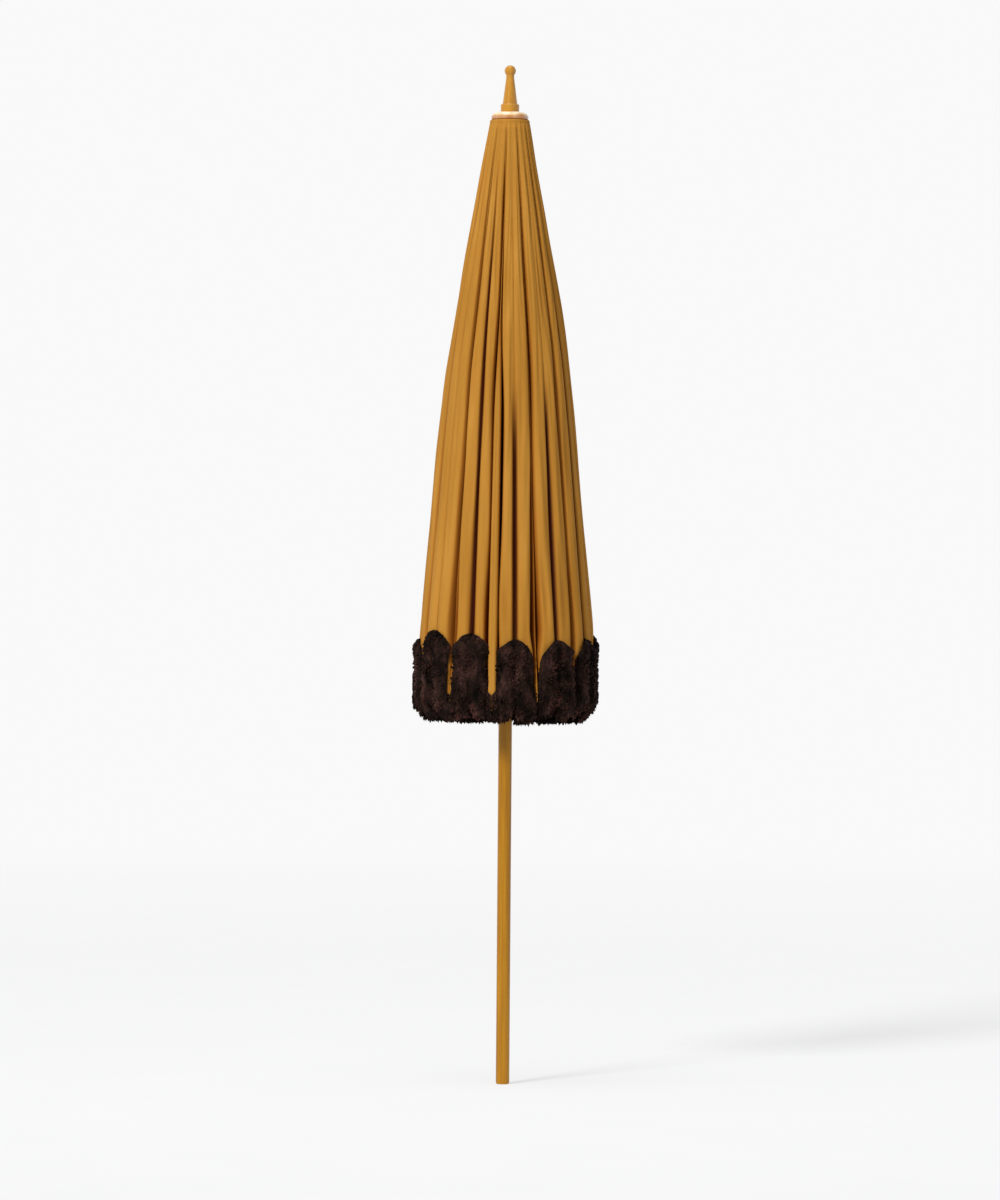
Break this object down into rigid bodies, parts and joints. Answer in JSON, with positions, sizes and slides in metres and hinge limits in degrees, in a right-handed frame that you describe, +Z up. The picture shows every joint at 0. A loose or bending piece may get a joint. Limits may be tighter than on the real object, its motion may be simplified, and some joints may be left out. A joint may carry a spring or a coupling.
{
  "type": "garden parasol",
  "caption": "Tall closed garden parasol: turned wooden pole and finial, ochre cotton canopy in deep folds on wooden ribs, scalloped hem with a dark brush fringe.",
  "frame": {"origin": "centre of the pole's foot, on the ground", "axes": "+Z up the pole; the viewer stands at -Y"},
  "size_m": [0.4114, 0.4114, 2.4],
  "materials": {
    "stained_wood": "satin ochre stain",
    "glossy_wood": "glossy ochre varnish",
    "bamboo": "satin",
    "ochre_cloth": "plain cotton",
    "brass": "satin",
    "steel_wire": "satin"
  },
  "bodies": {
    "pole": {"pole": "stained_wood", "top_hub": "stained_wood", "top_hub_wire": "steel_wire", "hub_pin": "steel_wire", "canopy_crown": "ochre_cloth", "cap_disc": "glossy_wood", "finial": "glossy_wood", "finial_dowel": "stained_wood"},
    "runner": {"runner": "stained_wood", "runner_wire": "steel_wire"},
    "lock_pin": {"lock_pin": "brass"},
    "rib_01": {"rib_01": "bamboo"},
    "stretcher_01": {"stretcher_01": "bamboo"},
    "canopy_01_left": {"canopy_01_left": "ochre_cloth"},
    "canopy_01_right": {"canopy_01_right": "ochre_cloth"},
    "rib_02": {"rib_02": "bamboo"},
    "stretcher_02": {"stretcher_02": "bamboo"},
    "canopy_02_left": {"canopy_02_left": "ochre_cloth"},
    "canopy_02_right": {"canopy_02_right": "ochre_cloth"},
    "rib_03": {"rib_03": "bamboo"},
    "stretcher_03": {"stretcher_03": "bamboo"},
    "canopy_03_left": {"canopy_03_left": "ochre_cloth"},
    "canopy_03_right": {"canopy_03_right": "ochre_cloth"},
    "rib_04": {"rib_04": "bamboo"},
    "stretcher_04": {"stretcher_04": "bamboo"},
    "canopy_04_left": {"canopy_04_left": "ochre_cloth"},
    "canopy_04_right": {"canopy_04_right": "ochre_cloth"},
    "rib_05": {"rib_05": "bamboo"},
    "stretcher_05": {"stretcher_05": "bamboo"},
    "canopy_05_left": {"canopy_05_left": "ochre_cloth"},
    "canopy_05_right": {"canopy_05_right": "ochre_cloth"},
    "rib_06": {"rib_06": "bamboo"},
    "stretcher_06": {"stretcher_06": "bamboo"},
    "canopy_06_left": {"canopy_06_left": "ochre_cloth"},
    "canopy_06_right": {"canopy_06_right": "ochre_cloth"},
    "rib_07": {"rib_07": "bamboo"},
    "stretcher_07": {"stretcher_07": "bamboo"},
    "canopy_07_left": {"canopy_07_left": "ochre_cloth"},
    "canopy_07_right": {"canopy_07_right": "ochre_cloth"},
    "rib_08": {"rib_08": "bamboo"},
    "stretcher_08": {"stretcher_08": "bamboo"},
    "canopy_08_left": {"canopy_08_left": "ochre_cloth"},
    "canopy_08_right": {"canopy_08_right": "ochre_cloth"},
    "rib_09": {"rib_09": "bamboo"},
    "stretcher_09": {"stretcher_09": "bamboo"},
    "canopy_09_left": {"canopy_09_left": "ochre_cloth"},
    "canopy_09_right": {"canopy_09_right": "ochre_cloth"},
    "rib_10": {"rib_10": "bamboo"},
    "stretcher_10": {"stretcher_10": "bamboo"},
    "canopy_10_left": {"canopy_10_left": "ochre_cloth"},
    "canopy_10_right": {"canopy_10_right": "ochre_cloth"},
    "rib_11": {"rib_11": "bamboo"},
    "stretcher_11": {"stretcher_11": "bamboo"},
    "canopy_11_left": {"canopy_11_left": "ochre_cloth"},
    "canopy_11_right": {"canopy_11_right": "ochre_cloth"},
    "rib_12": {"rib_12": "bamboo"},
    "stretcher_12": {"stretcher_12": "bamboo"},
    "canopy_12_left": {"canopy_12_left": "ochre_cloth"},
    "canopy_12_right": {"canopy_12_right": "ochre_cloth"}
  },
  "joints": [
    {"name": "runner_slide", "type": "slide", "parent": "pole", "child": "runner", "axis": [0, 0, 1], "range_m": [0, 0.69115]},
    {"name": "lock_pin_slide", "type": "slide", "parent": "pole", "child": "lock_pin", "axis": [0.9945, 0.1045, 0], "range_m": [0, 0.045]},
    {"name": "rib_01_tilt", "type": "hinge", "parent": "pole", "child": "rib_01", "pos_m": [0.00376, -0.0358, 2.256], "axis": [-0.9945, -0.1045, 0], "range_deg": [0, 61]},
    {"name": "stretcher_01_turn", "type": "hinge", "parent": "rib_01", "child": "stretcher_01", "pos_m": [0.01208, -0.11493, 1.69458], "axis": [0.9945, 0.1045, 0], "range_deg": [0, 117.6]},
    {"name": "canopy_01_left_unfold", "type": "hinge", "parent": "rib_01", "child": "canopy_01_left", "pos_m": [-0.07696, -0.03879, 1.7], "axis": [-0.1231, 0.0074, -0.9924], "range_deg": [0, 79.32]},
    {"name": "canopy_01_right_unfold", "type": "hinge", "parent": "rib_01", "child": "canopy_01_right", "pos_m": [0.08334, -0.02194, 1.7], "axis": [-0.1189, -0.0328, 0.9924], "range_deg": [0, 79.32]},
    {"name": "rib_02_tilt", "type": "hinge", "parent": "pole", "child": "rib_02", "pos_m": [0.02116, -0.02912, 2.256], "axis": [-0.809, -0.5878, 0], "range_deg": [0, 61]},
    {"name": "stretcher_02_turn", "type": "hinge", "parent": "rib_02", "child": "stretcher_02", "pos_m": [0.06793, -0.0935, 1.69458], "axis": [0.809, 0.5878, 0], "range_deg": [0, 117.6]},
    {"name": "canopy_02_left_unfold", "type": "hinge", "parent": "rib_02", "child": "canopy_02_left", "pos_m": [-0.04725, -0.07207, 1.7], "axis": [-0.1103, -0.0551, -0.9924], "range_deg": [0, 79.32]},
    {"name": "canopy_02_right_unfold", "type": "hinge", "parent": "rib_02", "child": "canopy_02_right", "pos_m": [0.08314, 0.02267, 1.7], "axis": [-0.0865, -0.0879, 0.9924], "range_deg": [0, 79.32]},
    {"name": "rib_03_tilt", "type": "hinge", "parent": "pole", "child": "rib_03", "pos_m": [0.03289, -0.01464, 2.256], "axis": [-0.4067, -0.9135, 0], "range_deg": [0, 61]},
    {"name": "stretcher_03_turn", "type": "hinge", "parent": "rib_03", "child": "stretcher_03", "pos_m": [0.10558, -0.04701, 1.69458], "axis": [0.4067, 0.9135, 0], "range_deg": [0, 117.6]},
    {"name": "canopy_03_left_unfold", "type": "hinge", "parent": "rib_03", "child": "canopy_03_left", "pos_m": [-0.00489, -0.08604, 1.7], "axis": [-0.068, -0.1029, -0.9924], "range_deg": [0, 79.32]},
    {"name": "canopy_03_right_unfold", "type": "hinge", "parent": "rib_03", "child": "canopy_03_right", "pos_m": [0.06067, 0.0612, 1.7], "axis": [-0.031, -0.1194, 0.9924], "range_deg": [0, 79.32]},
    {"name": "rib_04_tilt", "type": "hinge", "parent": "pole", "child": "rib_04", "pos_m": [0.0358, 0.00376, 2.256], "axis": [0.1045, -0.9945, 0], "range_deg": [0, 61]},
    {"name": "stretcher_04_turn", "type": "hinge", "parent": "rib_04", "child": "stretcher_04", "pos_m": [0.11493, 0.01208, 1.69458], "axis": [-0.1045, 0.9945, 0], "range_deg": [0, 117.6]},
    {"name": "canopy_04_left_unfold", "type": "hinge", "parent": "rib_04", "child": "canopy_04_left", "pos_m": [0.03879, -0.07696, 1.7], "axis": [-0.0074, -0.1231, -0.9924], "range_deg": [0, 79.32]},
    {"name": "canopy_04_right_unfold", "type": "hinge", "parent": "rib_04", "child": "canopy_04_right", "pos_m": [0.02194, 0.08334, 1.7], "axis": [0.0328, -0.1189, 0.9924], "range_deg": [0, 79.32]},
    {"name": "rib_05_tilt", "type": "hinge", "parent": "pole", "child": "rib_05", "pos_m": [0.02912, 0.02116, 2.256], "axis": [0.5878, -0.809, 0], "range_deg": [0, 61]},
    {"name": "stretcher_05_turn", "type": "hinge", "parent": "rib_05", "child": "stretcher_05", "pos_m": [0.0935, 0.06793, 1.69458], "axis": [-0.5878, 0.809, 0], "range_deg": [0, 117.6]},
    {"name": "canopy_05_left_unfold", "type": "hinge", "parent": "rib_05", "child": "canopy_05_left", "pos_m": [0.07207, -0.04725, 1.7], "axis": [0.0551, -0.1103, -0.9924], "range_deg": [0, 79.32]},
    {"name": "canopy_05_right_unfold", "type": "hinge", "parent": "rib_05", "child": "canopy_05_right", "pos_m": [-0.02267, 0.08314, 1.7], "axis": [0.0879, -0.0865, 0.9924], "range_deg": [0, 79.32]},
    {"name": "rib_06_tilt", "type": "hinge", "parent": "pole", "child": "rib_06", "pos_m": [0.01464, 0.03289, 2.256], "axis": [0.9135, -0.4067, 0], "range_deg": [0, 61]},
    {"name": "stretcher_06_turn", "type": "hinge", "parent": "rib_06", "child": "stretcher_06", "pos_m": [0.04701, 0.10558, 1.69458], "axis": [-0.9135, 0.4067, 0], "range_deg": [0, 117.6]},
    {"name": "canopy_06_left_unfold", "type": "hinge", "parent": "rib_06", "child": "canopy_06_left", "pos_m": [0.08604, -0.00489, 1.7], "axis": [0.1029, -0.068, -0.9924], "range_deg": [0, 79.32]},
    {"name": "canopy_06_right_unfold", "type": "hinge", "parent": "rib_06", "child": "canopy_06_right", "pos_m": [-0.0612, 0.06067, 1.7], "axis": [0.1194, -0.031, 0.9924], "range_deg": [0, 79.32]},
    {"name": "rib_07_tilt", "type": "hinge", "parent": "pole", "child": "rib_07", "pos_m": [-0.00376, 0.0358, 2.256], "axis": [0.9945, 0.1045, 0], "range_deg": [0, 61]},
    {"name": "stretcher_07_turn", "type": "hinge", "parent": "rib_07", "child": "stretcher_07", "pos_m": [-0.01208, 0.11493, 1.69458], "axis": [-0.9945, -0.1045, 0], "range_deg": [0, 117.6]},
    {"name": "canopy_07_left_unfold", "type": "hinge", "parent": "rib_07", "child": "canopy_07_left", "pos_m": [0.07696, 0.03879, 1.7], "axis": [0.1231, -0.0074, -0.9924], "range_deg": [0, 79.32]},
    {"name": "canopy_07_right_unfold", "type": "hinge", "parent": "rib_07", "child": "canopy_07_right", "pos_m": [-0.08334, 0.02194, 1.7], "axis": [0.1189, 0.0328, 0.9924], "range_deg": [0, 79.32]},
    {"name": "rib_08_tilt", "type": "hinge", "parent": "pole", "child": "rib_08", "pos_m": [-0.02116, 0.02912, 2.256], "axis": [0.809, 0.5878, 0], "range_deg": [0, 61]},
    {"name": "stretcher_08_turn", "type": "hinge", "parent": "rib_08", "child": "stretcher_08", "pos_m": [-0.06793, 0.0935, 1.69458], "axis": [-0.809, -0.5878, 0], "range_deg": [0, 117.6]},
    {"name": "canopy_08_left_unfold", "type": "hinge", "parent": "rib_08", "child": "canopy_08_left", "pos_m": [0.04725, 0.07207, 1.7], "axis": [0.1103, 0.0551, -0.9924], "range_deg": [0, 79.32]},
    {"name": "canopy_08_right_unfold", "type": "hinge", "parent": "rib_08", "child": "canopy_08_right", "pos_m": [-0.08314, -0.02267, 1.7], "axis": [0.0865, 0.0879, 0.9924], "range_deg": [0, 79.32]},
    {"name": "rib_09_tilt", "type": "hinge", "parent": "pole", "child": "rib_09", "pos_m": [-0.03289, 0.01464, 2.256], "axis": [0.4067, 0.9135, 0], "range_deg": [0, 61]},
    {"name": "stretcher_09_turn", "type": "hinge", "parent": "rib_09", "child": "stretcher_09", "pos_m": [-0.10558, 0.04701, 1.69458], "axis": [-0.4067, -0.9135, 0], "range_deg": [0, 117.6]},
    {"name": "canopy_09_left_unfold", "type": "hinge", "parent": "rib_09", "child": "canopy_09_left", "pos_m": [0.00489, 0.08604, 1.7], "axis": [0.068, 0.1029, -0.9924], "range_deg": [0, 79.32]},
    {"name": "canopy_09_right_unfold", "type": "hinge", "parent": "rib_09", "child": "canopy_09_right", "pos_m": [-0.06067, -0.0612, 1.7], "axis": [0.031, 0.1194, 0.9924], "range_deg": [0, 79.32]},
    {"name": "rib_10_tilt", "type": "hinge", "parent": "pole", "child": "rib_10", "pos_m": [-0.0358, -0.00376, 2.256], "axis": [-0.1045, 0.9945, 0], "range_deg": [0, 61]},
    {"name": "stretcher_10_turn", "type": "hinge", "parent": "rib_10", "child": "stretcher_10", "pos_m": [-0.11493, -0.01208, 1.69458], "axis": [0.1045, -0.9945, 0], "range_deg": [0, 117.6]},
    {"name": "canopy_10_left_unfold", "type": "hinge", "parent": "rib_10", "child": "canopy_10_left", "pos_m": [-0.03879, 0.07696, 1.7], "axis": [0.0074, 0.1231, -0.9924], "range_deg": [0, 79.32]},
    {"name": "canopy_10_right_unfold", "type": "hinge", "parent": "rib_10", "child": "canopy_10_right", "pos_m": [-0.02194, -0.08334, 1.7], "axis": [-0.0328, 0.1189, 0.9924], "range_deg": [0, 79.32]},
    {"name": "rib_11_tilt", "type": "hinge", "parent": "pole", "child": "rib_11", "pos_m": [-0.02912, -0.02116, 2.256], "axis": [-0.5878, 0.809, 0], "range_deg": [0, 61]},
    {"name": "stretcher_11_turn", "type": "hinge", "parent": "rib_11", "child": "stretcher_11", "pos_m": [-0.0935, -0.06793, 1.69458], "axis": [0.5878, -0.809, 0], "range_deg": [0, 117.6]},
    {"name": "canopy_11_left_unfold", "type": "hinge", "parent": "rib_11", "child": "canopy_11_left", "pos_m": [-0.07207, 0.04725, 1.7], "axis": [-0.0551, 0.1103, -0.9924], "range_deg": [0, 79.32]},
    {"name": "canopy_11_right_unfold", "type": "hinge", "parent": "rib_11", "child": "canopy_11_right", "pos_m": [0.02267, -0.08314, 1.7], "axis": [-0.0879, 0.0865, 0.9924], "range_deg": [0, 79.32]},
    {"name": "rib_12_tilt", "type": "hinge", "parent": "pole", "child": "rib_12", "pos_m": [-0.01464, -0.03289, 2.256], "axis": [-0.9135, 0.4067, 0], "range_deg": [0, 61]},
    {"name": "stretcher_12_turn", "type": "hinge", "parent": "rib_12", "child": "stretcher_12", "pos_m": [-0.04701, -0.10558, 1.69458], "axis": [0.9135, -0.4067, 0], "range_deg": [0, 117.6]},
    {"name": "canopy_12_left_unfold", "type": "hinge", "parent": "rib_12", "child": "canopy_12_left", "pos_m": [-0.08604, 0.00489, 1.7], "axis": [-0.1029, 0.068, -0.9924], "range_deg": [0, 79.32]},
    {"name": "canopy_12_right_unfold", "type": "hinge", "parent": "rib_12", "child": "canopy_12_right", "pos_m": [0.0612, -0.06067, 1.7], "axis": [-0.1194, 0.031, 0.9924], "range_deg": [0, 79.32]}
  ],
  "couplings": [
    {"joint": "rib_01_tilt", "follows": "runner_slide", "rad_per_m": 1.5404},
    {"joint": "stretcher_01_turn", "follows": "runner_slide", "rad_per_m": 2.9697},
    {"joint": "canopy_01_left_unfold", "follows": "runner_slide", "rad_per_m": 2.0029},
    {"joint": "canopy_01_right_unfold", "follows": "runner_slide", "rad_per_m": 2.0029},
    {"joint": "rib_02_tilt", "follows": "runner_slide", "rad_per_m": 1.5404},
    {"joint": "stretcher_02_turn", "follows": "runner_slide", "rad_per_m": 2.9697},
    {"joint": "canopy_02_left_unfold", "follows": "runner_slide", "rad_per_m": 2.0029},
    {"joint": "canopy_02_right_unfold", "follows": "runner_slide", "rad_per_m": 2.0029},
    {"joint": "rib_03_tilt", "follows": "runner_slide", "rad_per_m": 1.5404},
    {"joint": "stretcher_03_turn", "follows": "runner_slide", "rad_per_m": 2.9697},
    {"joint": "canopy_03_left_unfold", "follows": "runner_slide", "rad_per_m": 2.0029},
    {"joint": "canopy_03_right_unfold", "follows": "runner_slide", "rad_per_m": 2.0029},
    {"joint": "rib_04_tilt", "follows": "runner_slide", "rad_per_m": 1.5404},
    {"joint": "stretcher_04_turn", "follows": "runner_slide", "rad_per_m": 2.9697},
    {"joint": "canopy_04_left_unfold", "follows": "runner_slide", "rad_per_m": 2.0029},
    {"joint": "canopy_04_right_unfold", "follows": "runner_slide", "rad_per_m": 2.0029},
    {"joint": "rib_05_tilt", "follows": "runner_slide", "rad_per_m": 1.5404},
    {"joint": "stretcher_05_turn", "follows": "runner_slide", "rad_per_m": 2.9697},
    {"joint": "canopy_05_left_unfold", "follows": "runner_slide", "rad_per_m": 2.0029},
    {"joint": "canopy_05_right_unfold", "follows": "runner_slide", "rad_per_m": 2.0029},
    {"joint": "rib_06_tilt", "follows": "runner_slide", "rad_per_m": 1.5404},
    {"joint": "stretcher_06_turn", "follows": "runner_slide", "rad_per_m": 2.9697},
    {"joint": "canopy_06_left_unfold", "follows": "runner_slide", "rad_per_m": 2.0029},
    {"joint": "canopy_06_right_unfold", "follows": "runner_slide", "rad_per_m": 2.0029},
    {"joint": "rib_07_tilt", "follows": "runner_slide", "rad_per_m": 1.5404},
    {"joint": "stretcher_07_turn", "follows": "runner_slide", "rad_per_m": 2.9697},
    {"joint": "canopy_07_left_unfold", "follows": "runner_slide", "rad_per_m": 2.0029},
    {"joint": "canopy_07_right_unfold", "follows": "runner_slide", "rad_per_m": 2.0029},
    {"joint": "rib_08_tilt", "follows": "runner_slide", "rad_per_m": 1.5404},
    {"joint": "stretcher_08_turn", "follows": "runner_slide", "rad_per_m": 2.9697},
    {"joint": "canopy_08_left_unfold", "follows": "runner_slide", "rad_per_m": 2.0029},
    {"joint": "canopy_08_right_unfold", "follows": "runner_slide", "rad_per_m": 2.0029},
    {"joint": "rib_09_tilt", "follows": "runner_slide", "rad_per_m": 1.5404},
    {"joint": "stretcher_09_turn", "follows": "runner_slide", "rad_per_m": 2.9697},
    {"joint": "canopy_09_left_unfold", "follows": "runner_slide", "rad_per_m": 2.0029},
    {"joint": "canopy_09_right_unfold", "follows": "runner_slide", "rad_per_m": 2.0029},
    {"joint": "rib_10_tilt", "follows": "runner_slide", "rad_per_m": 1.5404},
    {"joint": "stretcher_10_turn", "follows": "runner_slide", "rad_per_m": 2.9697},
    {"joint": "canopy_10_left_unfold", "follows": "runner_slide", "rad_per_m": 2.0029},
    {"joint": "canopy_10_right_unfold", "follows": "runner_slide", "rad_per_m": 2.0029},
    {"joint": "rib_11_tilt", "follows": "runner_slide", "rad_per_m": 1.5404},
    {"joint": "stretcher_11_turn", "follows": "runner_slide", "rad_per_m": 2.9697},
    {"joint": "canopy_11_left_unfold", "follows": "runner_slide", "rad_per_m": 2.0029},
    {"joint": "canopy_11_right_unfold", "follows": "runner_slide", "rad_per_m": 2.0029},
    {"joint": "rib_12_tilt", "follows": "runner_slide", "rad_per_m": 1.5404},
    {"joint": "stretcher_12_turn", "follows": "runner_slide", "rad_per_m": 2.9697},
    {"joint": "canopy_12_left_unfold", "follows": "runner_slide", "rad_per_m": 2.0029},
    {"joint": "canopy_12_right_unfold", "follows": "runner_slide", "rad_per_m": 2.0029}
  ]
}
